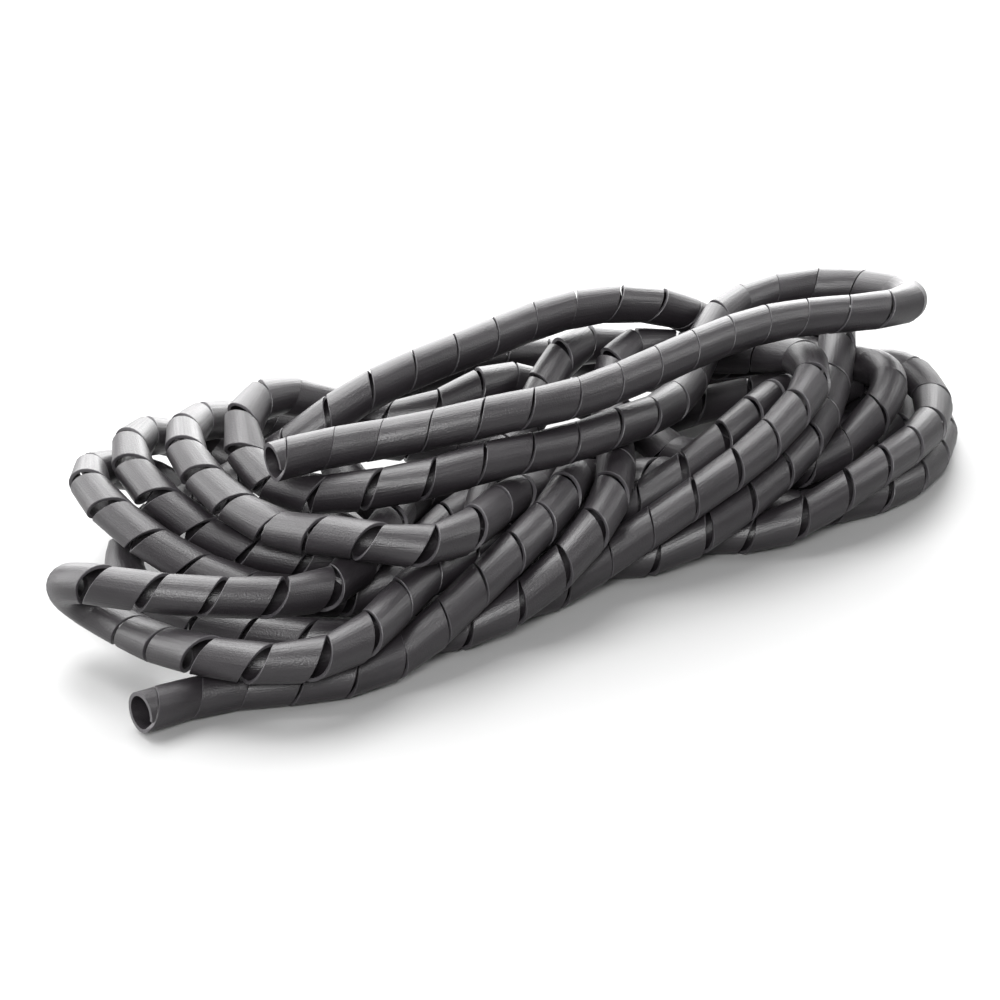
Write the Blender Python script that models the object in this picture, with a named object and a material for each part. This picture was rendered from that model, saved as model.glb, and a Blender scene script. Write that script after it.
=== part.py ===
"""Spiral cable wrap: five metres of black polyethylene wrap stored as a loose hank.

The wrap is one extruded tube that was slit into a helix, so the whole hank is one piece. Here it
is a tube with the true outer diameter and wall that follows the hank's route, and its bore runs
right through from one cut end to the other. The helical slit is left to the looks. Sizes are in
millimetres, and they are turned into metres when the mesh is made.
"""

import bmesh
import bpy
import numpy as np

# Driving dimensions, in millimetres and degrees
OUTER_DIAMETER = 12.0
WALL = 1.2
LAY_CLEARANCE = 1.0
FACETS = 8
LONGEST_FACET = 24.0
SHARPEST_KINK = 28.0

# How the route is read and settled
LAY_STEP = 6.0
LAY_ROUNDS = 600
OWN_BEND = 2.6
STIFFNESS = 0.33
EVENING = 0.25
FIRST_HOLD = 0.03
HOLD_ENDS_AT = 0.77
LAST_HOLD = 0.004
NEIGHBOUR_MARGIN = 14.0
NEIGHBOUR_ROUNDS = 20
SPAN_READINGS = 24
LOOK_AHEAD = 1.0

MM = 0.001

# The route of the wrap's centre line, in millimetres from the middle of the hank, in the order in
# which it is wound: from the upper open end to the open end that lies on the floor.
TOP_RUN = [
    (-86, -5, 49), (-77, -4, 49), (-65, -6, 49), (-53, -11, 50), (-39, -18, 52), (-25, -23, 53),
    (-11, -28, 54), (3, -28, 55), (21, -26, 56), (38, -24, 57), (55, -22, 58), (72, -19, 58),
    (87, -17, 57), (103, -17, 55), (119, -19, 53), (131, -20, 52),
]
TOP_LOOP = [
    (143, -18, 51), (148, -11, 49), (146, -6, 48), (141, 3, 46), (134, 12, 45), (123, 18, 45),
    (110, 20, 46), (97, 17, 46), (85, 11, 45), (74, 3, 43), (63, -8, 40),
]
SECOND_RUN = [
    (49, -19, 40), (36, -25, 40), (23, -29, 40), (10, -30, 40), (-6, -32, 41), (-22, -31, 41),
    (-37, -29, 41), (-52, -26, 41), (-61, -23, 41), (-68, -13, 39), (-76, -3, 36), (-82, 5, 35),
]
FIFTH_LEFT_LOOP = [
    (-83, 15, 38), (-78, 24, 42), (-71, 33, 44), (-64, 40, 45), (-56, 45, 44), (-49, 45, 41),
    (-44, 43, 37), (-39, 40, 34),
]
INNER_RUN = [
    (-33, 32, 33), (-23, 24, 34), (-10, 21, 36), (3, 24, 38), (16, 28, 38), (26, 29, 34),
    (31, 22, 28), (35, 11, 22), (44, -1, 16),
]
THIRD_RIGHT_LOOP = [
    (56, -14, 10), (63, -30, 7), (77, -36, 10), (94, -35, 16), (111, -31, 22), (120, -31, 28),
    (125, -30, 32), (124, -26, 34), (123, -18, 31), (127, 7, 22), (121, 21, 22),
]
BACK_ARCH = [
    (107, 23, 28), (92, 23, 37), (76, 21, 47), (62, 23, 53), (50, 25, 55), (38, 28, 55),
    (23, 26, 55), (9, 24, 54), (-6, 22, 53), (-19, 22, 52), (-34, 22, 50), (-48, 20, 47),
    (-58, 20, 43), (-66, 23, 37), (-77, 27, 29), (-91, 30, 23), (-103, 33, 18),
]
LOW_LEFT_LOOP = [
    (-115, 35, 14), (-121, 30, 12), (-122, 20, 9), (-118, -2, 7), (-103, -25, 7), (-87, -40, 7),
    (-70, -51, 6),
]
FRONT_DIAGONAL = [
    (-54, -55, 7), (-46, -55, 9), (-37, -54, 13), (-22, -55, 20), (-14, -55, 24), (-4, -50, 27),
    (6, -41, 28), (18, -27, 28), (32, -7, 28), (37, 0, 32), (43, 8, 37), (50, 15, 41),
    (60, 22, 43), (68, 21, 41), (78, 14, 37), (88, 4, 36), (96, -7, 38),
]
FIRST_RIGHT_LOOP = [
    (99, -14, 41), (100, -21, 41), (94, -31, 40), (84, -38, 38), (74, -43, 36), (64, -47, 34),
    (55, -51, 32), (46, -53, 29), (38, -54, 25), (30, -51, 20), (17, -47, 13), (2, -46, 8),
    (-16, -48, 6), (-34, -52, 6), (-47, -42, 6), (-59, -26, 6),
]
SECOND_LEFT_LOOP = [
    (-73, -6, 6), (-80, 17, 6), (-84, 39, 7), (-86, 57, 12), (-92, 68, 18), (-107, 61, 22),
    (-116, 54, 27), (-123, 45, 30), (-123, 31, 29), (-116, 16, 24), (-105, 1, 18), (-93, -15, 15),
    (-80, -27, 13), (-63, -34, 12), (-46, -33, 12), (-29, -26, 15),
]
MIDDLE_DIAGONAL = [
    (-14, -16, 21), (5, -1, 27), (17, 11, 33), (25, 17, 40), (35, 25, 43), (48, 30, 41),
    (64, 29, 34), (86, 30, 26), (108, 27, 20), (123, 20, 20),
]
SECOND_RIGHT_LOOP = [
    (129, 11, 24), (122, -5, 31), (115, -16, 31), (107, -24, 29), (96, -32, 27), (79, -41, 24),
    (67, -47, 20), (49, -50, 17), (37, -49, 12), (28, -45, 6), (13, -45, 6), (1, -38, 6),
    (-11, -28, 6), (-26, -13, 6), (-41, 1, 6),
]
THIRD_LEFT_LOOP = [
    (-50, 18, 6), (-54, 37, 7), (-58, 54, 11), (-63, 66, 15), (-72, 72, 19), (-85, 67, 23),
    (-90, 66, 27), (-97, 61, 31), (-105, 51, 33), (-109, 40, 33), (-109, 24, 31), (-104, 14, 25),
    (-101, 6, 22), (-92, -7, 19), (-77, -16, 14), (-60, -25, 12), (-40, -23, 12), (-8, -7, 9),
    (22, 10, 7), (49, 23, 7), (77, 29, 6), (101, 29, 6), (121, 25, 8),
]
DARK_RIGHT_LOOP = [
    (127, 11, 12), (132, 3, 11), (129, -6, 9), (121, -11, 7), (108, -14, 6), (94, -17, 6),
    (72, -22, 6), (53, -21, 6), (37, -12, 6), (22, 6, 7), (11, 23, 10), (-1, 38, 12),
]
FOURTH_LEFT_LOOP = [
    (-16, 51, 13), (-31, 62, 16), (-49, 67, 21), (-64, 64, 27), (-72, 61, 31), (-81, 56, 35),
    (-91, 42, 38), (-96, 27, 38), (-97, 7, 35), (-91, -10, 31), (-84, -25, 30), (-77, -41, 32),
    (-67, -51, 34), (-55, -54, 35), (-38, -45, 33), (-21, -32, 31), (2, -11, 20), (30, 8, 16),
    (53, 14, 16), (78, 14, 17), (101, 8, 18), (128, 5, 16),
]
HIDDEN_RIGHT_LOOP = [
    (141, 2, 16), (150, -1, 13), (149, -9, 11), (145, -16, 9), (136, -22, 8), (124, -23, 6),
    (102, -27, 6), (83, -32, 6), (64, -34, 6), (45, -33, 6), (28, -24, 6), (13, -14, 6),
    (-6, -3, 8), (-24, -3, 12),
]
FIRST_LEFT_LOOP = [
    (-41, -14, 8), (-62, -30, 15), (-83, -40, 23), (-99, -43, 28), (-116, -37, 29),
    (-134, -26, 29), (-144, -17, 29), (-150, -10, 29), (-153, -4, 27), (-151, 1, 23),
    (-147, 4, 19), (-142, 3, 16), (-139, -3, 14), (-138, -13, 14),
]
LOWER_DIAGONAL = [
    (-137, -24, 14), (-135, -37, 15), (-129, -49, 17), (-117, -60, 18), (-102, -65, 18), (-89, -64, 18),
    (-74, -57, 18), (-59, -48, 20), (-43, -40, 21), (-24, -32, 20), (-4, -29, 20), (11, -33, 21),
    (26, -38, 24), (40, -39, 28), (53, -36, 31), (69, -30, 33), (81, -23, 33), (97, -12, 30),
    (118, 0, 24), (136, 4, 19), (146, -4, 18),
]
FOURTH_RIGHT_LOOP = [
    (142, -17, 18), (144, -23, 18), (141, -32, 17), (132, -41, 16), (121, -47, 15),
    (105, -53, 15), (89, -55, 14), (73, -56, 11), (63, -53, 8), (56, -49, 6), (47, -47, 6),
    (38, -43, 6), (24, -36, 6), (9, -27, 6), (-7, -11, 6), (-25, 0, 10), (-38, 8, 16),
    (-45, 20, 20),
]
BACK_LEFT_LOOP = [
    (-45, 32, 21), (-38, 43, 25), (-24, 50, 29), (-5, 51, 31), (16, 51, 32), (36, 52, 30),
    (56, 53, 24), (80, 48, 14), (109, 40, 7), (135, 30, 6),
]
FIFTH_RIGHT_LOOP = [
    (144, 11, 8), (151, -1, 8), (152, -15, 8), (146, -30, 8), (135, -40, 7), (120, -48, 6),
    (103, -52, 6), (89, -52, 6), (76, -43, 6), (61, -37, 6), (43, -30, 7), (31, -15, 9),
]
BOTTOM_RUN = [
    (21, -9, 16), (14, -10, 22), (-1, -21, 26), (-10, -30, 26), (-23, -39, 25), (-32, -45, 23),
    (-39, -47, 21), (-47, -51, 18), (-53, -53, 15), (-60, -54, 12), (-68, -56, 10), (-76, -57, 7),
    (-89, -60, 6), (-100, -59, 6), (-112, -53, 6), (-122, -46, 6), (-130, -43, 6),
    (-138, -44, 6), (-145, -46, 7), (-151, -47, 7),
]
ROUTE = (
    TOP_RUN + TOP_LOOP + SECOND_RUN + FIFTH_LEFT_LOOP + INNER_RUN + THIRD_RIGHT_LOOP + BACK_ARCH
    + LOW_LEFT_LOOP + FRONT_DIAGONAL + FIRST_RIGHT_LOOP + SECOND_LEFT_LOOP + MIDDLE_DIAGONAL
    + SECOND_RIGHT_LOOP + THIRD_LEFT_LOOP + DARK_RIGHT_LOOP + FOURTH_LEFT_LOOP + HIDDEN_RIGHT_LOOP
    + FIRST_LEFT_LOOP + LOWER_DIAGONAL + FOURTH_RIGHT_LOOP + BACK_LEFT_LOOP + FIFTH_RIGHT_LOOP
    + BOTTOM_RUN
)


def clear_scene():
    """Removes every object that the scene starts with."""
    for thing in list(bpy.data.objects):
        bpy.data.objects.remove(thing, do_unlink=True)


def distance_along(line):
    """The length of the line up to each of its points."""
    steps = np.linalg.norm(np.diff(line, axis=0), axis=1)
    return np.concatenate([[0.0], np.cumsum(steps)])


def read_at(line, stations):
    """The points of the line at the given distances along it."""
    along = distance_along(line)
    return np.stack([np.interp(stations, along, line[:, axis]) for axis in range(3)], axis=1)


def smooth_curve(points, spacing):
    """A centripetal Catmull-Rom curve through the points, read at even spacing."""
    points = np.asarray(points, float)
    first = 2 * points[0] - points[1]
    last = 2 * points[-1] - points[-2]
    padded = np.vstack([first, points, last])
    spans = len(padded) - 3
    a, b, c, d = (padded[start:start + spans, None, :] for start in range(4))
    ab_knot = np.sqrt(np.linalg.norm(b - a, axis=2, keepdims=True))
    bc_knot = ab_knot + np.sqrt(np.linalg.norm(c - b, axis=2, keepdims=True))
    cd_knot = bc_knot + np.sqrt(np.linalg.norm(d - c, axis=2, keepdims=True))
    share = np.linspace(0.0, 1.0, SPAN_READINGS, endpoint=False)[None, :, None]
    knot = ab_knot + (bc_knot - ab_knot) * share
    on_ab = a + (b - a) * knot / ab_knot
    on_bc = b + (c - b) * (knot - ab_knot) / (bc_knot - ab_knot)
    on_cd = c + (d - c) * (knot - bc_knot) / (cd_knot - bc_knot)
    early = on_ab + (on_bc - on_ab) * knot / bc_knot
    late = on_bc + (on_cd - on_bc) * (knot - ab_knot) / (cd_knot - ab_knot)
    curve = early + (late - early) * (knot - ab_knot) / (bc_knot - ab_knot)
    curve = np.vstack([curve.reshape(-1, 3), points[-1]])
    length = distance_along(curve)[-1]
    return read_at(curve, np.linspace(0.0, length, int(round(length / spacing)) + 1))


def neighbours(line, reach, skip):
    """The pairs of points nearer than reach that aren't in the same bend."""
    apart = line[:, None, :] - line[None, :, :]
    close = np.einsum("ijk,ijk->ij", apart, apart) < reach ** 2
    return np.nonzero(np.triu(close, skip))


def bend_offset(line):
    """How far each point lies from the middle of its two neighbours."""
    offset = np.zeros_like(line)
    offset[1:-1] = 0.5 * (line[:-2] + line[2:]) - line[1:-1]
    return offset


def lay_turns(points, width, clearance, floor):
    """The smooth route, eased until no turn cuts into another one or into the floor.

    Points of two turns nearer than one width and the clearance step apart, kinks are evened out,
    and each point is held near its place on the chosen route, less and less as the turns settle.
    """
    line = smooth_curve(points, LAY_STEP)
    home = line.copy()
    count = len(line)
    gap = width + clearance
    skip = int(np.ceil(OWN_BEND * width / LAY_STEP))
    for lap in range(LAY_ROUNDS):
        if lap % NEIGHBOUR_ROUNDS == 0:
            one, other = neighbours(line, gap + NEIGHBOUR_MARGIN, skip)
        between = line[one] - line[other]
        length = np.linalg.norm(between, axis=1) + 1e-9
        short = np.maximum(gap - length, 0.0) / length
        push = 0.5 * short[:, None] * between
        moved = np.stack(
            [
                np.bincount(one, push[:, axis], count) - np.bincount(other, push[:, axis], count)
                for axis in range(3)
            ],
            axis=1,
        )
        hits = np.bincount(one, short > 0, count) + np.bincount(other, short > 0, count)
        moved /= np.sqrt(np.maximum(hits, 1))[:, None]
        hold = max(FIRST_HOLD * (1.0 - lap / (HOLD_ENDS_AT * LAY_ROUNDS)), LAST_HOLD)
        line = line + moved - STIFFNESS * bend_offset(bend_offset(line)) + hold * (home - line)
        step = np.diff(line, axis=0)
        size = np.linalg.norm(step, axis=1)
        shift = EVENING * step * ((size - size.mean()) / size)[:, None]
        line[:-1] += shift
        line[1:] -= shift
        line[:, 2] = np.maximum(line[:, 2], floor)
    return line


def centred(line, lift):
    """The line moved so that its box is centred over the origin, lift above its lowest point."""
    low = line.min(axis=0)
    high = line.max(axis=0)
    middle = 0.5 * (low + high)
    return line - np.array([middle[0], middle[1], low[2] - lift])


def ring_stations(line):
    """Distances for the rings: as far apart as the longest facet and the sharpest kink allow."""
    along = distance_along(line)
    step = np.diff(line, axis=0)
    heading = step / np.linalg.norm(step, axis=1)[:, None]
    cosine = np.clip((heading[1:] * heading[:-1]).sum(axis=1), -1.0, 1.0)
    turning = np.degrees(np.arccos(cosine)) / (0.5 * (along[2:] - along[:-2]))
    rings_per_mm = np.maximum(1.0 / LONGEST_FACET, turning / SHARPEST_KINK)
    rings_per_mm = np.concatenate([rings_per_mm[:1], rings_per_mm, rings_per_mm[-1:]])
    steps = 0.5 * (rings_per_mm[1:] + rings_per_mm[:-1]) * np.diff(along)
    effort = np.concatenate([[0.0], np.cumsum(steps)])
    rings = int(np.ceil(effort[-1])) + 1
    return np.interp(np.linspace(0.0, effort[-1], rings), effort, along)


def rotated(vector, axis, angle):
    """The vector turned round a unit axis that is square to it."""
    return vector * np.cos(angle) + np.cross(axis, vector) * np.sin(angle)


def section_frames(line, stations, side):
    """Centre, sideways and upward directions of the section at each station, from a first side.

    The section is carried along without twist. Where the wrap runs level it is eased round by
    less than half a facet, so that one flat facet faces the floor.
    """
    centres = read_at(line, stations)
    ahead = read_at(line, stations + LOOK_AHEAD) - read_at(line, stations - LOOK_AHEAD)
    headings = ahead / np.linalg.norm(ahead, axis=1)[:, None]
    upright = np.array([0.0, 0.0, 1.0])
    facet = 2.0 * np.pi / FACETS
    sideways = []
    for heading in headings:
        side = side - heading * side.dot(heading)
        side = side / np.linalg.norm(side)
        level = np.cross(heading, upright)
        off_level = np.arctan2(np.cross(side, level).dot(heading), side.dot(level))
        ease = (off_level + 0.5 * facet) % facet - 0.5 * facet
        levelness = min(1.0, 2.0 * (1.0 - abs(heading[2])))
        side = rotated(side, heading, levelness * ease)
        sideways.append(side)
    sideways = np.array(sideways)
    return centres, sideways, np.cross(sideways, headings)


def ring_points(frames, radius):
    """The corners of each section, in rings, with the lowest facet facing down."""
    centres, sideways, upward = frames
    facet = 2.0 * np.pi / FACETS
    angles = -0.5 * np.pi + facet * (np.arange(FACETS) + 0.5)
    across = sideways[:, None, :] * np.cos(angles)[None, :, None]
    rise = upward[:, None, :] * np.sin(angles)[None, :, None]
    return centres[:, None, :] + radius * (across + rise)


def skin(first_corner, rings):
    """Faces between neighbouring rings whose corners are numbered from first_corner."""
    faces = []
    for ring in range(rings - 1):
        here = first_corner + ring * FACETS
        there = here + FACETS
        for corner in range(FACETS):
            after = (corner + 1) % FACETS
            faces.append((here + corner, here + after, there + after, there + corner))
    return faces


def cut_face(outer_corner, bore_corner):
    """The flat cut face of the wall at one end, between the outer ring and the bore's ring."""
    faces = []
    for corner in range(FACETS):
        after = (corner + 1) % FACETS
        outer_edge = (outer_corner + after, outer_corner + corner)
        faces.append(outer_edge + (bore_corner + corner, bore_corner + after))
    return faces


def wrap_mesh(line):
    """The tube as one closed skin: the outside, the bore right through, and the two cut faces."""
    outer_radius = 0.5 * OUTER_DIAMETER
    stations = ring_stations(line)
    first_side = np.cross(line[1] - line[0], np.array([0.0, 0.0, 1.0]))
    frames = section_frames(line, stations, first_side)
    outside = ring_points(frames, outer_radius).reshape(-1, 3)
    bore = ring_points(frames, outer_radius - WALL).reshape(-1, 3)
    rings = len(stations)
    last_outer = (rings - 1) * FACETS
    first_bore = rings * FACETS
    last_bore = first_bore + last_outer
    faces = skin(0, rings) + skin(first_bore, rings)
    faces += cut_face(0, first_bore) + cut_face(last_outer, last_bore)
    return np.vstack([outside, bore]), faces


def black_polyethylene():
    """Black extruded polyethylene with a satin skin."""
    material = bpy.data.materials.new("black_polyethylene")
    material.use_nodes = True
    shader = material.node_tree.nodes["Principled BSDF"]
    shader.inputs["Base Color"].default_value = (0.022, 0.020, 0.023, 1.0)
    shader.inputs["Roughness"].default_value = 0.38
    shader.inputs["Metallic"].default_value = 0.0
    shader.inputs["IOR"].default_value = 1.51
    material.diffuse_color = (0.022, 0.020, 0.023, 1.0)
    material.roughness = 0.38
    return material


def build_wrap():
    """The hank as one named object that rests on the plane z = 0."""
    flat_height = 0.5 * OUTER_DIAMETER * np.cos(np.pi / FACETS)
    line = centred(lay_turns(ROUTE, OUTER_DIAMETER, LAY_CLEARANCE, flat_height), flat_height)
    corners, faces = wrap_mesh(line)
    mesh = bpy.data.meshes.new("spiral_wrap")
    mesh.from_pydata((corners * MM).tolist(), [], faces)
    whole = bmesh.new()
    whole.from_mesh(mesh)
    bmesh.ops.recalc_face_normals(whole, faces=whole.faces[:])
    whole.to_mesh(mesh)
    whole.free()
    mesh.shade_smooth()
    mesh.materials.append(black_polyethylene())
    wrap = bpy.data.objects.new("spiral_wrap", mesh)
    bpy.context.scene.collection.objects.link(wrap)
    return wrap


clear_scene()
build_wrap()
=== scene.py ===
"""Looks of a loose hank of black spiral cable wrap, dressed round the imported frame."""

import math

import bpy
import numpy as np
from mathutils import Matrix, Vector


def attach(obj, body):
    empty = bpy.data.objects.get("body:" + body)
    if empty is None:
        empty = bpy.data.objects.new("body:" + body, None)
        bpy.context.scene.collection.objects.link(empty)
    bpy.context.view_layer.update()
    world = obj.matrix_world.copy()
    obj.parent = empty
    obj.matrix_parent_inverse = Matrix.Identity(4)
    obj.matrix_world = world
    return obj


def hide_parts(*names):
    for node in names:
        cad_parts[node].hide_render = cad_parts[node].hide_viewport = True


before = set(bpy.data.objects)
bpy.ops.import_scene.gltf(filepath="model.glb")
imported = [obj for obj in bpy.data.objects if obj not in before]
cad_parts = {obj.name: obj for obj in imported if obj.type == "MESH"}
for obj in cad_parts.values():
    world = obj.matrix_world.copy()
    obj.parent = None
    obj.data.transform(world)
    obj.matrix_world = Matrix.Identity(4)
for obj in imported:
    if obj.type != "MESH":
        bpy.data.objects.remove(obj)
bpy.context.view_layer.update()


# The camera: a long lens, a little above the hank and off its left end, so that the loops of the
# left end come forward and the right end falls back.
CAMERA_AZIMUTH = math.radians(32.0)
CAMERA_ELEVATION = math.radians(28.0)
CAMERA_DISTANCE = 0.950
CAMERA_TARGET = Vector((-0.02446, -0.03221, 0.0300))
LENS_MM = 114.48

sight = Vector((
    math.sin(CAMERA_AZIMUTH) * math.cos(CAMERA_ELEVATION),
    math.cos(CAMERA_AZIMUTH) * math.cos(CAMERA_ELEVATION),
    -math.sin(CAMERA_ELEVATION),
))
camera_data = bpy.data.cameras.new("camera")
camera_data.sensor_width = 36.0
camera_data.lens = LENS_MM
camera_data.clip_start = 0.05
camera_data.clip_end = 20.0
camera = bpy.data.objects.new("camera", camera_data)
camera.location = CAMERA_TARGET - CAMERA_DISTANCE * sight
camera.rotation_euler = sight.to_track_quat("-Z", "Y").to_euler()
bpy.context.scene.collection.objects.link(camera)
bpy.context.scene.camera = camera


# The wrap's route through the hank. Five metres of wrap were wound by hand into long loops and let
# go, so the loops fan out at both ends and cross in the middle. The points are the centre line in
# millimetres, from the upper cut end to the one on the floor, as in the part's own source.
WRAP_DIAMETER = 12.0
WRAP_RADIUS = 0.5 * WRAP_DIAMETER
SOLID_FACETS = 8
LAY_CLEARANCE = 1.0
LAY_STEP = 6.0
LAY_ROUNDS = 600
OWN_BEND = 2.6
STIFFNESS = 0.33
EVENING = 0.25
FIRST_HOLD = 0.03
HOLD_ENDS_AT = 0.77
LAST_HOLD = 0.004
NEIGHBOUR_MARGIN = 14.0
NEIGHBOUR_ROUNDS = 20
SPAN_READINGS = 24
FLAT_HEIGHT = WRAP_RADIUS * math.cos(math.pi / SOLID_FACETS)
MM = 0.001

TOP_RUN = [
    (-86, -5, 49), (-77, -4, 49), (-65, -6, 49), (-53, -11, 50), (-39, -18, 52), (-25, -23, 53),
    (-11, -28, 54), (3, -28, 55), (21, -26, 56), (38, -24, 57), (55, -22, 58), (72, -19, 58),
    (87, -17, 57), (103, -17, 55), (119, -19, 53), (131, -20, 52),
]
TOP_LOOP = [
    (143, -18, 51), (148, -11, 49), (146, -6, 48), (141, 3, 46), (134, 12, 45), (123, 18, 45),
    (110, 20, 46), (97, 17, 46), (85, 11, 45), (74, 3, 43), (63, -8, 40),
]
SECOND_RUN = [
    (49, -19, 40), (36, -25, 40), (23, -29, 40), (10, -30, 40), (-6, -32, 41), (-22, -31, 41),
    (-37, -29, 41), (-52, -26, 41), (-61, -23, 41), (-68, -13, 39), (-76, -3, 36), (-82, 5, 35),
]
FIFTH_LEFT_LOOP = [
    (-83, 15, 38), (-78, 24, 42), (-71, 33, 44), (-64, 40, 45), (-56, 45, 44), (-49, 45, 41),
    (-44, 43, 37), (-39, 40, 34),
]
INNER_RUN = [
    (-33, 32, 33), (-23, 24, 34), (-10, 21, 36), (3, 24, 38), (16, 28, 38), (26, 29, 34),
    (31, 22, 28), (35, 11, 22), (44, -1, 16),
]
THIRD_RIGHT_LOOP = [
    (56, -14, 10), (63, -30, 7), (77, -36, 10), (94, -35, 16), (111, -31, 22), (120, -31, 28),
    (125, -30, 32), (124, -26, 34), (123, -18, 31), (127, 7, 22), (121, 21, 22),
]
BACK_ARCH = [
    (107, 23, 28), (92, 23, 37), (76, 21, 47), (62, 23, 53), (50, 25, 55), (38, 28, 55),
    (23, 26, 55), (9, 24, 54), (-6, 22, 53), (-19, 22, 52), (-34, 22, 50), (-48, 20, 47),
    (-58, 20, 43), (-66, 23, 37), (-77, 27, 29), (-91, 30, 23), (-103, 33, 18),
]
LOW_LEFT_LOOP = [
    (-115, 35, 14), (-121, 30, 12), (-122, 20, 9), (-118, -2, 7), (-103, -25, 7), (-87, -40, 7),
    (-70, -51, 6),
]
FRONT_DIAGONAL = [
    (-54, -55, 7), (-46, -55, 9), (-37, -54, 13), (-22, -55, 20), (-14, -55, 24), (-4, -50, 27),
    (6, -41, 28), (18, -27, 28), (32, -7, 28), (37, 0, 32), (43, 8, 37), (50, 15, 41),
    (60, 22, 43), (68, 21, 41), (78, 14, 37), (88, 4, 36), (96, -7, 38),
]
FIRST_RIGHT_LOOP = [
    (99, -14, 41), (100, -21, 41), (94, -31, 40), (84, -38, 38), (74, -43, 36), (64, -47, 34),
    (55, -51, 32), (46, -53, 29), (38, -54, 25), (30, -51, 20), (17, -47, 13), (2, -46, 8),
    (-16, -48, 6), (-34, -52, 6), (-47, -42, 6), (-59, -26, 6),
]
SECOND_LEFT_LOOP = [
    (-73, -6, 6), (-80, 17, 6), (-84, 39, 7), (-86, 57, 12), (-92, 68, 18), (-107, 61, 22),
    (-116, 54, 27), (-123, 45, 30), (-123, 31, 29), (-116, 16, 24), (-105, 1, 18), (-93, -15, 15),
    (-80, -27, 13), (-63, -34, 12), (-46, -33, 12), (-29, -26, 15),
]
MIDDLE_DIAGONAL = [
    (-14, -16, 21), (5, -1, 27), (17, 11, 33), (25, 17, 40), (35, 25, 43), (48, 30, 41),
    (64, 29, 34), (86, 30, 26), (108, 27, 20), (123, 20, 20),
]
SECOND_RIGHT_LOOP = [
    (129, 11, 24), (122, -5, 31), (115, -16, 31), (107, -24, 29), (96, -32, 27), (79, -41, 24),
    (67, -47, 20), (49, -50, 17), (37, -49, 12), (28, -45, 6), (13, -45, 6), (1, -38, 6),
    (-11, -28, 6), (-26, -13, 6), (-41, 1, 6),
]
THIRD_LEFT_LOOP = [
    (-50, 18, 6), (-54, 37, 7), (-58, 54, 11), (-63, 66, 15), (-72, 72, 19), (-85, 67, 23),
    (-90, 66, 27), (-97, 61, 31), (-105, 51, 33), (-109, 40, 33), (-109, 24, 31), (-104, 14, 25),
    (-101, 6, 22), (-92, -7, 19), (-77, -16, 14), (-60, -25, 12), (-40, -23, 12), (-8, -7, 9),
    (22, 10, 7), (49, 23, 7), (77, 29, 6), (101, 29, 6), (121, 25, 8),
]
DARK_RIGHT_LOOP = [
    (127, 11, 12), (132, 3, 11), (129, -6, 9), (121, -11, 7), (108, -14, 6), (94, -17, 6),
    (72, -22, 6), (53, -21, 6), (37, -12, 6), (22, 6, 7), (11, 23, 10), (-1, 38, 12),
]
FOURTH_LEFT_LOOP = [
    (-16, 51, 13), (-31, 62, 16), (-49, 67, 21), (-64, 64, 27), (-72, 61, 31), (-81, 56, 35),
    (-91, 42, 38), (-96, 27, 38), (-97, 7, 35), (-91, -10, 31), (-84, -25, 30), (-77, -41, 32),
    (-67, -51, 34), (-55, -54, 35), (-38, -45, 33), (-21, -32, 31), (2, -11, 20), (30, 8, 16),
    (53, 14, 16), (78, 14, 17), (101, 8, 18), (128, 5, 16),
]
HIDDEN_RIGHT_LOOP = [
    (141, 2, 16), (150, -1, 13), (149, -9, 11), (145, -16, 9), (136, -22, 8), (124, -23, 6),
    (102, -27, 6), (83, -32, 6), (64, -34, 6), (45, -33, 6), (28, -24, 6), (13, -14, 6),
    (-6, -3, 8), (-24, -3, 12),
]
FIRST_LEFT_LOOP = [
    (-41, -14, 8), (-62, -30, 15), (-83, -40, 23), (-99, -43, 28), (-116, -37, 29),
    (-134, -26, 29), (-144, -17, 29), (-150, -10, 29), (-153, -4, 27), (-151, 1, 23),
    (-147, 4, 19), (-142, 3, 16), (-139, -3, 14), (-138, -13, 14),
]
LOWER_DIAGONAL = [
    (-137, -24, 14), (-135, -37, 15), (-129, -49, 17), (-117, -60, 18), (-102, -65, 18), (-89, -64, 18),
    (-74, -57, 18), (-59, -48, 20), (-43, -40, 21), (-24, -32, 20), (-4, -29, 20), (11, -33, 21),
    (26, -38, 24), (40, -39, 28), (53, -36, 31), (69, -30, 33), (81, -23, 33), (97, -12, 30),
    (118, 0, 24), (136, 4, 19), (146, -4, 18),
]
FOURTH_RIGHT_LOOP = [
    (142, -17, 18), (144, -23, 18), (141, -32, 17), (132, -41, 16), (121, -47, 15),
    (105, -53, 15), (89, -55, 14), (73, -56, 11), (63, -53, 8), (56, -49, 6), (47, -47, 6),
    (38, -43, 6), (24, -36, 6), (9, -27, 6), (-7, -11, 6), (-25, 0, 10), (-38, 8, 16),
    (-45, 20, 20),
]
BACK_LEFT_LOOP = [
    (-45, 32, 21), (-38, 43, 25), (-24, 50, 29), (-5, 51, 31), (16, 51, 32), (36, 52, 30),
    (56, 53, 24), (80, 48, 14), (109, 40, 7), (135, 30, 6),
]
FIFTH_RIGHT_LOOP = [
    (144, 11, 8), (151, -1, 8), (152, -15, 8), (146, -30, 8), (135, -40, 7), (120, -48, 6),
    (103, -52, 6), (89, -52, 6), (76, -43, 6), (61, -37, 6), (43, -30, 7), (31, -15, 9),
]
BOTTOM_RUN = [
    (21, -9, 16), (14, -10, 22), (-1, -21, 26), (-10, -30, 26), (-23, -39, 25), (-32, -45, 23),
    (-39, -47, 21), (-47, -51, 18), (-53, -53, 15), (-60, -54, 12), (-68, -56, 10), (-76, -57, 7),
    (-89, -60, 6), (-100, -59, 6), (-112, -53, 6), (-122, -46, 6), (-130, -43, 6),
    (-138, -44, 6), (-145, -46, 7), (-151, -47, 7),
]
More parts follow.
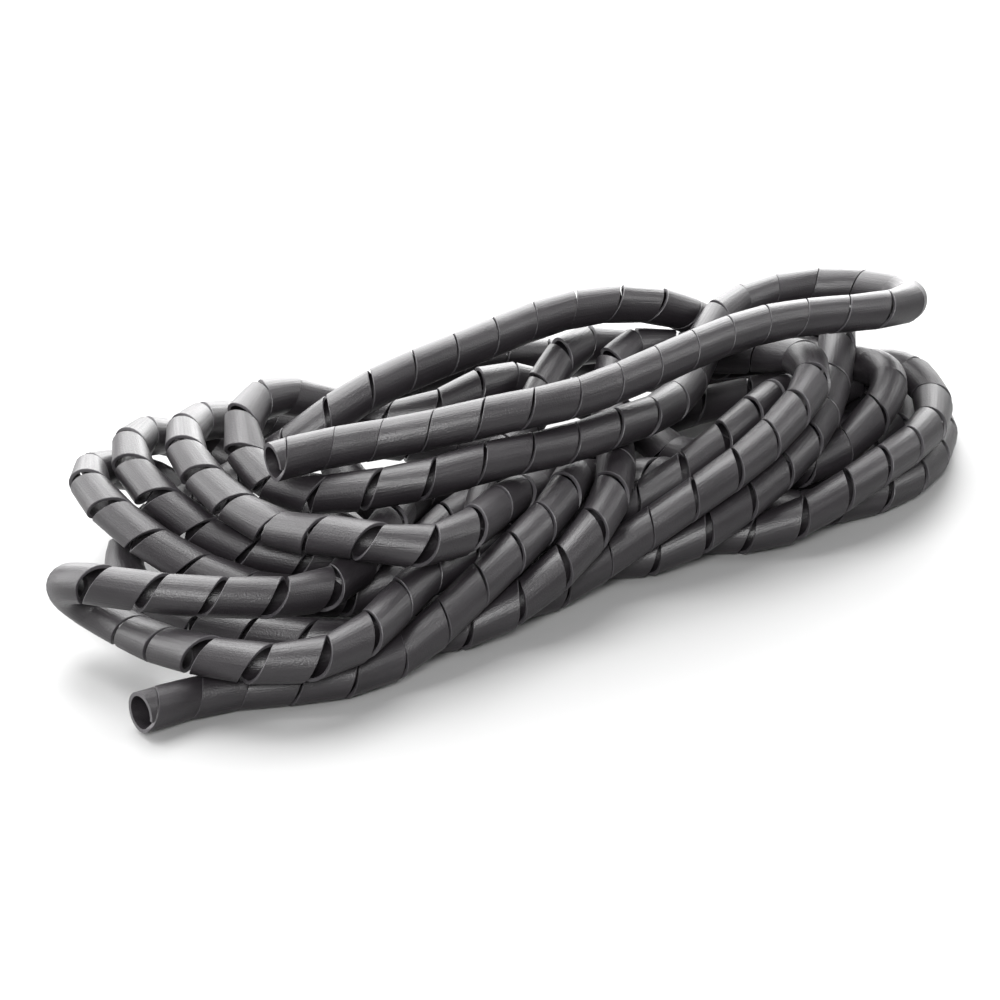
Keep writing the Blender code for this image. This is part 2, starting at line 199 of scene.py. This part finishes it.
ROUTE = (
    TOP_RUN + TOP_LOOP + SECOND_RUN + FIFTH_LEFT_LOOP + INNER_RUN + THIRD_RIGHT_LOOP + BACK_ARCH
    + LOW_LEFT_LOOP + FRONT_DIAGONAL + FIRST_RIGHT_LOOP + SECOND_LEFT_LOOP + MIDDLE_DIAGONAL
    + SECOND_RIGHT_LOOP + THIRD_LEFT_LOOP + DARK_RIGHT_LOOP + FOURTH_LEFT_LOOP + HIDDEN_RIGHT_LOOP
    + FIRST_LEFT_LOOP + LOWER_DIAGONAL + FOURTH_RIGHT_LOOP + BACK_LEFT_LOOP + FIFTH_RIGHT_LOOP
    + BOTTOM_RUN
)


def distance_along(line):
    """The length of the line up to each of its points."""
    steps = np.linalg.norm(np.diff(line, axis=0), axis=1)
    return np.concatenate([[0.0], np.cumsum(steps)])


def read_at(line, stations):
    """The points of the line at the given distances along it."""
    along = distance_along(line)
    return np.stack([np.interp(stations, along, line[:, axis]) for axis in range(3)], axis=1)


def smooth_curve(points, spacing):
    """A centripetal Catmull-Rom curve through the points, read at even spacing."""
    points = np.asarray(points, float)
    first = 2 * points[0] - points[1]
    last = 2 * points[-1] - points[-2]
    padded = np.vstack([first, points, last])
    spans = len(padded) - 3
    a, b, c, d = (padded[start:start + spans, None, :] for start in range(4))
    ab_knot = np.sqrt(np.linalg.norm(b - a, axis=2, keepdims=True))
    bc_knot = ab_knot + np.sqrt(np.linalg.norm(c - b, axis=2, keepdims=True))
    cd_knot = bc_knot + np.sqrt(np.linalg.norm(d - c, axis=2, keepdims=True))
    share = np.linspace(0.0, 1.0, SPAN_READINGS, endpoint=False)[None, :, None]
    knot = ab_knot + (bc_knot - ab_knot) * share
    on_ab = a + (b - a) * knot / ab_knot
    on_bc = b + (c - b) * (knot - ab_knot) / (bc_knot - ab_knot)
    on_cd = c + (d - c) * (knot - bc_knot) / (cd_knot - bc_knot)
    early = on_ab + (on_bc - on_ab) * knot / bc_knot
    late = on_bc + (on_cd - on_bc) * (knot - ab_knot) / (cd_knot - ab_knot)
    curve = early + (late - early) * (knot - ab_knot) / (bc_knot - ab_knot)
    curve = np.vstack([curve.reshape(-1, 3), points[-1]])
    length = distance_along(curve)[-1]
    return read_at(curve, np.linspace(0.0, length, int(round(length / spacing)) + 1))


def neighbours(line, reach, skip):
    """The pairs of points nearer than reach that aren't in the same bend."""
    apart = line[:, None, :] - line[None, :, :]
    close = np.einsum("ijk,ijk->ij", apart, apart) < reach ** 2
    return np.nonzero(np.triu(close, skip))


def bend_offset(line):
    """How far each point lies from the middle of its two neighbours."""
    offset = np.zeros_like(line)
    offset[1:-1] = 0.5 * (line[:-2] + line[2:]) - line[1:-1]
    return offset


def lay_turns(points, width, clearance, floor):
    """The smooth route, eased until no turn cuts into another one or into the floor.

    Points of two turns nearer than one width and the clearance step apart, kinks are evened out,
    and each point is held near its place on the chosen route, less and less as the turns settle.
    """
    line = smooth_curve(points, LAY_STEP)
    home = line.copy()
    count = len(line)
    gap = width + clearance
    skip = int(np.ceil(OWN_BEND * width / LAY_STEP))
    for lap in range(LAY_ROUNDS):
        if lap % NEIGHBOUR_ROUNDS == 0:
            one, other = neighbours(line, gap + NEIGHBOUR_MARGIN, skip)
        between = line[one] - line[other]
        length = np.linalg.norm(between, axis=1) + 1e-9
        short = np.maximum(gap - length, 0.0) / length
        push = 0.5 * short[:, None] * between
        moved = np.stack(
            [
                np.bincount(one, push[:, axis], count) - np.bincount(other, push[:, axis], count)
                for axis in range(3)
            ],
            axis=1,
        )
        hits = np.bincount(one, short > 0, count) + np.bincount(other, short > 0, count)
        moved /= np.sqrt(np.maximum(hits, 1))[:, None]
        hold = max(FIRST_HOLD * (1.0 - lap / (HOLD_ENDS_AT * LAY_ROUNDS)), LAST_HOLD)
        line = line + moved - STIFFNESS * bend_offset(bend_offset(line)) + hold * (home - line)
        step = np.diff(line, axis=0)
        size = np.linalg.norm(step, axis=1)
        shift = EVENING * step * ((size - size.mean()) / size)[:, None]
        line[:-1] += shift
        line[1:] -= shift
        line[:, 2] = np.maximum(line[:, 2], floor)
    return line


def centred(line, lift):
    """The line moved so that its box is centred over the origin, lift above its lowest point."""
    low = line.min(axis=0)
    high = line.max(axis=0)
    middle = 0.5 * (low + high)
    return line - np.array([middle[0], middle[1], low[2] - lift])


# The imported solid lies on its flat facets, and the round wrap lies a little higher.
route_line = centred(lay_turns(ROUTE, WRAP_DIAMETER, LAY_CLEARANCE, FLAT_HEIGHT), FLAT_HEIGHT)
route_line[:, 2] += WRAP_RADIUS - FLAT_HEIGHT


# The wrap itself: a polyethylene tube that was slit into one long left-handed strip. Where the
# wrap bends gently its turns stay straight and stiff, shut on the inside and open on the outside.
# In a tight bend the turns slip under one another inside, and the outside shows thin seams only.
STRIP_WIDTH = 15.2
WALL = 1.15
EDGE_ROUNDING = 0.16
SEAM = 0.10
UNEVEN_SEAM = 0.25
SEAM_WANDER = (61.0, 97.0)
SUNK_EDGE = 0.16
EDGE_WANDER = (3.7, 8.3)
SLIP_RADIUS = 27.0
SUPPLE_RADIUS = 15.0
STIFF_RADIUS = 32.0
LEAST_INNER_RADIUS = 3.0
LEAST_BEND = 0.0001
LEAST_STRETCH = 0.2
LEAST_SHARE_KEPT = 0.25

# Distances along the wrap, and the share of a bend's opening that the wrap keeps there.
RUN_STARTS = np.array([0, 240, 350, 520, 880, 1110, 1230, 2120, 3400, 3600, 3830, 4790, 5000])
RUN_OPENINGS = np.array([0.25, 0.4, 0.6, 0.8, 0.35, 0.7, 0.8, 0.8, 1.0, 1.35, 1.0, 0.7, 0.3])

END_TRIM = 0.9
RUN_ON = 1.5 * STRIP_WIDTH
STEPS_PER_TURN = 24
DENSE_STEP = 1.0
LINE_EVENING = 5.0


def running_mean(values, width):
    """The mean of the values over a sliding window, in rows, with the first and last row held."""
    half = int(round(0.5 * width / DENSE_STEP))
    before = np.repeat(values[:1], half, axis=0)
    after = np.repeat(values[-1:], half, axis=0)
    padded = np.concatenate([before, values, after])
    total = np.cumsum(np.concatenate([np.zeros_like(padded[:1]), padded]), axis=0)
    return (total[2 * half + 1:] - total[:-2 * half - 1]) / (2 * half + 1)


def unit(vectors):
    """Each row scaled to length one."""
    return vectors / np.linalg.norm(vectors, axis=-1, keepdims=True)


def carried_sides(headings):
    """A direction square to each heading, carried along the line without twist."""
    side = np.cross(headings[0], (0.0, 0.0, 1.0))
    sides = np.empty_like(headings)
    for k, heading in enumerate(headings):
        side = side - heading * side.dot(heading)
        side = side / np.linalg.norm(side)
        sides[k] = side
    return sides


def uneven(places, first, second):
    """A slow wander between -1 and 1: the mean of two sines with the given wavelengths."""
    one_wave = np.sin(2.0 * np.pi * places / first)
    other_wave = np.sin(2.0 * np.pi * places / second + 1.0)
    return 0.5 * (one_wave + other_wave)


def strip_path(line):
    """Stations along the wrap with the line, its chords, its bends and the turns of the strip.

    The line is run on straight past both ends. If the strip's turns only touch inside a bend of
    radius R, they stand w 2r / (R - r) apart outside it. Slipping takes up a share of that which
    grows with the third power of the slip radius over R, and each run keeps a share of the rest
    that was chosen over the photo. One turn advances by the strip's width and the
    opening, both measured outside the bend and brought back to the middle of the wrap.
    """
    first = line[0] - unit(line[1] - line[0]) * RUN_ON
    last = line[-1] + unit(line[-1] - line[-2]) * RUN_ON
    dense = smooth_curve(np.vstack([first, line, last]), DENSE_STEP)
    points = running_mean(dense, LINE_EVENING)
    stations = distance_along(points)
    headings = unit(np.gradient(points, stations, axis=0))
    bends = running_mean(np.gradient(headings, stations, axis=0), STRIP_WIDTH)
    radius = 1.0 / np.maximum(np.linalg.norm(bends, axis=1), LEAST_BEND)
    inner_radius = np.maximum(radius - WRAP_RADIUS, LEAST_INNER_RADIUS)
    touching = STRIP_WIDTH * WRAP_DIAMETER / inner_radius
    opening = touching / (1.0 + (SLIP_RADIUS / radius) ** 3)
    opening = opening * np.interp(stations - RUN_ON, RUN_STARTS, RUN_OPENINGS)
    opening = opening + SEAM + UNEVEN_SEAM * (1.0 + uneven(stations, *SEAM_WANDER))
    advance = (STRIP_WIDTH + opening) / (1.0 + WRAP_RADIUS / radius)
    middle_advance = 0.5 * (advance[1:] + advance[:-1])
    turns = np.concatenate([[0.0], np.cumsum(np.diff(stations) / middle_advance)])
    chords = running_mean(points, STRIP_WIDTH)
    return {
        "stations": stations - RUN_ON,
        "points": points,
        "headings": headings,
        "bends": bends,
        "chords": chords,
        "chord_headings": unit(running_mean(headings, STRIP_WIDTH)),
        "sides": carried_sides(headings),
        "advance": advance,
        "turns": turns,
    }


def at_stations(path, name, places):
    """One of the path's rows of values, read at the given places, whatever their shape."""
    values = path[name]
    if values.ndim == 1:
        return np.interp(places, path["stations"], values)
    read = [np.interp(places, path["stations"], values[:, axis]) for axis in range(3)]
    return np.stack(read, axis=-1)


def outward_at(headings, sides, angle):
    """The direction out of the wrap at the angle round it, square to the heading."""
    sides = unit(sides - headings * (sides * headings).sum(axis=-1, keepdims=True))
    uprights = np.cross(headings, sides)
    return np.cos(angle)[..., None] * sides + np.sin(angle)[..., None] * uprights


def strip_mesh(line):
    """The strip's corners, faces, UV and cut faces.

    At turn n the strip's section lies at angle -2 pi n round the wrap. The section is a flat bar
    with rounded edges, t along it and radius out from the middle of the wrap. A stiff bar runs
    along the chord, and a supple one follows the bend, and the two are blended by the bend's
    radius. Inside a bend the bar is no longer than the room that its turn has, because the rest
    of it slips under the next turn. The bar tilts a little from turn to turn, so that one edge
    sinks under its neighbour's. Both ends are cut off square.
    """
    path = strip_path(line)
    length = distance_along(line)[-1]
    half, rounding = 0.5 * STRIP_WIDTH, EDGE_ROUNDING
    start = np.interp(END_TRIM - half, path["stations"], path["turns"])
    end = np.interp(length + half - END_TRIM, path["stations"], path["turns"])
    n = np.linspace(start, end, int((end - start) * STEPS_PER_TURN))
    s = np.interp(n, path["turns"], path["stations"])
    angle = -2.0 * np.pi * (n - start)

    outer, inner = WRAP_RADIUS, WRAP_RADIUS - WALL
    inset = half - rounding
    t = np.array([
        -inset, -0.5 * inset, 0.0, 0.5 * inset, inset, half, half, inset, 0.0, -inset, -half, -half,
    ])
    radius = np.array([
        outer, outer, outer, outer, outer, outer - rounding, inner + rounding,
        inner, inner, inner, inner + rounding, outer - rounding,
    ])
    cut_columns = (4, 5, 6, 9, 10, 11)
    headings = at_stations(path, "headings", s)
    bends = at_stations(path, "bends", s)
    outward = outward_at(headings, at_stations(path, "sides", s), angle)
    lean = (bends * outward).sum(axis=1)
    stretch = np.maximum(1.0 - outer * lean, LEAST_STRETCH)
    room = 0.5 * (at_stations(path, "advance", s) * stretch - SEAM)
    kept = np.clip(room / half, LEAST_SHARE_KEPT, 1.0)
    t = t[None, :] * kept[:, None]
    tilt = SUNK_EDGE * uneven(n, *EDGE_WANDER)[:, None] * t / half
    radius = radius[None, :] + np.minimum(tilt, 0.0)

    angles = np.broadcast_to(angle[:, None], t.shape)
    along = np.clip(s[:, None] + t / stretch[:, None], 0.0, length)
    supple = at_stations(path, "points", along) + radius[..., None] * outward_at(
        at_stations(path, "headings", along), at_stations(path, "sides", along), angles
    )
    chord = at_stations(path, "chord_headings", s)
    chord_outward = outward_at(chord, at_stations(path, "sides", s), angle)
    straight_t = np.clip(t, -s[:, None], (length - s)[:, None])
    stiff = (
        at_stations(path, "chords", s)[:, None, :] + straight_t[..., None] * chord[:, None, :]
        + radius[..., None] * chord_outward[:, None, :]
    )
    bend = np.linalg.norm(bends, axis=1)
    blend = (bend - 1.0 / STIFF_RADIUS) / (1.0 / SUPPLE_RADIUS - 1.0 / STIFF_RADIUS)
    blend = np.clip(blend, 0.0, 1.0)
    blend = (blend * blend * (3.0 - 2.0 * blend))[:, None, None]
    corners = stiff + blend * (supple - stiff)

    rows, columns = t.shape
    index = np.arange(rows * columns).reshape(rows, columns)
    here, there = index[:-1], index[1:]
    quads = np.stack([here, np.roll(here, -1, 1), np.roll(there, -1, 1), there], axis=2)
    cut = np.tile(np.isin(np.arange(columns), cut_columns), rows - 1)
    around = np.broadcast_to((-angle * WRAP_RADIUS)[:, None], t.shape)
    uv = np.stack([s[:, None] + t, around], axis=2).reshape(-1, 2)
    return corners.reshape(-1, 3) * MM, quads.reshape(-1, 4), uv * MM, cut, index


def strip_object(line):
    """Builds the strip as one closed mesh whose UV is in metres along and round the wrap."""
    corners, quads, uv, cut, index = strip_mesh(line)
    faces = quads.tolist() + [index[0, ::-1].tolist(), index[-1].tolist()]
    mesh = bpy.data.meshes.new("spiral_strip")
    mesh.from_pydata(corners.tolist(), [], faces)
    loops = np.empty(len(mesh.loops), dtype=np.int32)
    mesh.loops.foreach_get("vertex_index", loops)
    layer = mesh.uv_layers.new(name="along_and_round")
    layer.data.foreach_set("uv", uv[loops].astype(np.float32).ravel())
    slots = np.concatenate([cut, [True, True]]).astype(np.int32)
    mesh.polygons.foreach_set("material_index", slots)
    mesh.shade_smooth()
    mesh.set_sharp_from_angle(angle=math.radians(30.0))
    mesh.update()
    strip = bpy.data.objects.new("spiral_strip", mesh)
    bpy.context.scene.collection.objects.link(strip)
    return strip


def polyethylene(name, colour, pale, roughness, streak_depth):
    """Satin extruded polyethylene: fine streaks along the wrap and a faint grain, in UV metres.

    Slow clouds blend the two colours, the streaks vary the roughness, and the streaks and the
    grain added together raise the bump.
    """
    material = bpy.data.materials.new(name)
    material.use_nodes = True
    nodes, links = material.node_tree.nodes, material.node_tree.links
    shader = nodes["Principled BSDF"]
    place = nodes.new("ShaderNodeUVMap")
    place.uv_map = "along_and_round"

    def noise(stretch, detail, rough):
        """A noise whose scale along and round the wrap is given by stretch."""
        mapping = nodes.new("ShaderNodeMapping")
        mapping.inputs["Scale"].default_value = stretch
        texture = nodes.new("ShaderNodeTexNoise")
        texture.inputs["Scale"].default_value = 1.0
        texture.inputs["Detail"].default_value = detail
        texture.inputs["Roughness"].default_value = rough
        links.new(place.outputs["UV"], mapping.inputs["Vector"])
        links.new(mapping.outputs["Vector"], texture.inputs["Vector"])
        return texture.outputs["Fac"]

    def ranged(value, low, high):
        """The noise's middle range, spread between low and high."""
        spread = nodes.new("ShaderNodeMapRange")
        spread.inputs["From Min"].default_value = 0.3
        spread.inputs["From Max"].default_value = 0.7
        spread.inputs["To Min"].default_value = low
        spread.inputs["To Max"].default_value = high
        links.new(value, spread.inputs["Value"])
        return spread.outputs["Result"]

    streaks = noise((40.0, 1600.0, 1.0), 3.0, 0.6)
    grain = noise((1800.0, 1800.0, 1.0), 2.0, 0.6)
    clouds = noise((60.0, 120.0, 1.0), 2.0, 0.5)

    blend = nodes.new("ShaderNodeMix")
    blend.data_type = "RGBA"
    blend.inputs["A"].default_value = colour + (1.0,)
    blend.inputs["B"].default_value = pale + (1.0,)
    links.new(ranged(clouds, 0.0, 1.0), blend.inputs["Factor"])
    links.new(blend.outputs["Result"], shader.inputs["Base Color"])
    links.new(ranged(streaks, roughness - 0.05, roughness + 0.07), shader.inputs["Roughness"])

    height = nodes.new("ShaderNodeMath")
    height.operation = "ADD"
    links.new(ranged(streaks, 0.0, 1.0), height.inputs[0])
    links.new(ranged(grain, 0.0, 1.0), height.inputs[1])
    bump = nodes.new("ShaderNodeBump")
    bump.inputs["Strength"].default_value = 0.8
    bump.inputs["Distance"].default_value = streak_depth
    links.new(height.outputs["Value"], bump.inputs["Height"])
    links.new(bump.outputs["Normal"], shader.inputs["Normal"])
    shader.inputs["IOR"].default_value = 1.51
    return material


# Wrap of this kind is sold in five-metre lengths, and the laid route is that long within 1 cm.
# The skin is black with a satin sheen, and the slit's faces are a duller, paler black.
SKIN_BLACK = (0.0085, 0.0070, 0.0085)
SKIN_CLOUD = (0.014, 0.012, 0.014)
SLIT_BLACK = (0.030, 0.028, 0.031)
SLIT_CLOUD = (0.045, 0.042, 0.046)

wrap = strip_object(route_line)
wrap_skin = polyethylene(
    "wrap_skin", SKIN_BLACK, SKIN_CLOUD, roughness=0.40, streak_depth=0.00005
)
wrap_cut_edge = polyethylene(
    "wrap_cut_edge", SLIT_BLACK, SLIT_CLOUD, roughness=0.46, streak_depth=0.00003
)
wrap.data.materials.append(wrap_skin)
wrap.data.materials.append(wrap_cut_edge)
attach(wrap, "root")
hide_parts("spiral_wrap")


# A plain pale floor, level and matt, that the hank lies on. It is there to catch the hank's
# soft shadow, and isn't part of the object.
FLOOR_HALF_WIDTH = 3.0

floor_mesh = bpy.data.meshes.new("floor")
floor_mesh.from_pydata(
    [
        (-FLOOR_HALF_WIDTH, -FLOOR_HALF_WIDTH, 0.0), (FLOOR_HALF_WIDTH, -FLOOR_HALF_WIDTH, 0.0),
        (FLOOR_HALF_WIDTH, FLOOR_HALF_WIDTH, 0.0), (-FLOOR_HALF_WIDTH, FLOOR_HALF_WIDTH, 0.0),
    ],
    [],
    [(0, 1, 2, 3)],
)
floor = bpy.data.objects.new("floor", floor_mesh)
floor_material = bpy.data.materials.new("pale_floor")
floor_material.use_nodes = True
floor_shader = floor_material.node_tree.nodes["Principled BSDF"]
floor_shader.inputs["Base Color"].default_value = (0.27, 0.27, 0.27, 1.0)
floor_shader.inputs["Roughness"].default_value = 0.6
floor_mesh.materials.append(floor_material)
bpy.context.scene.collection.objects.link(floor)


# The studio: a pale surround, with wide soft boxes above the hank, behind it and off both its ends.
# Two small boxes, in front and on the right, draw the glints along the turns that face the lens.
world = bpy.data.worlds.new("studio")
world.use_nodes = True
world.node_tree.nodes["Background"].inputs["Color"].default_value = (1.0, 1.0, 1.0, 1.0)
world.node_tree.nodes["Background"].inputs["Strength"].default_value = 0.35
bpy.context.scene.world = world
bpy.context.scene.view_settings.view_transform = "Standard"

HANK_MIDDLE = Vector((0.0, 0.0, 0.03))


def soft_box(name, place, size, watts):
    """A square soft light that faces the middle of the hank."""
    light = bpy.data.lights.new(name, "AREA")
    light.shape = "SQUARE"
    light.size = size
    light.energy = watts
    lamp = bpy.data.objects.new(name, light)
    lamp.location = place
    aim = HANK_MIDDLE - Vector(place)
    lamp.rotation_euler = aim.to_track_quat("-Z", "Y").to_euler()
    bpy.context.scene.collection.objects.link(lamp)


soft_box("overhead", (-0.1, 0.5, 1.5), 1.1, 40.0)
soft_box("back_left", (-1.2, 0.9, 0.62), 1.6, 54.0)
soft_box("behind", (0.6, 1.3, 0.8), 1.8, 64.0)
soft_box("back_right", (1.4, 0.95, 0.40), 1.2, 17.0)
soft_box("front", (-0.6, -0.85, 0.75), 0.28, 17.0)
soft_box("right", (1.0, -0.6, 0.8), 0.5, 8.0)
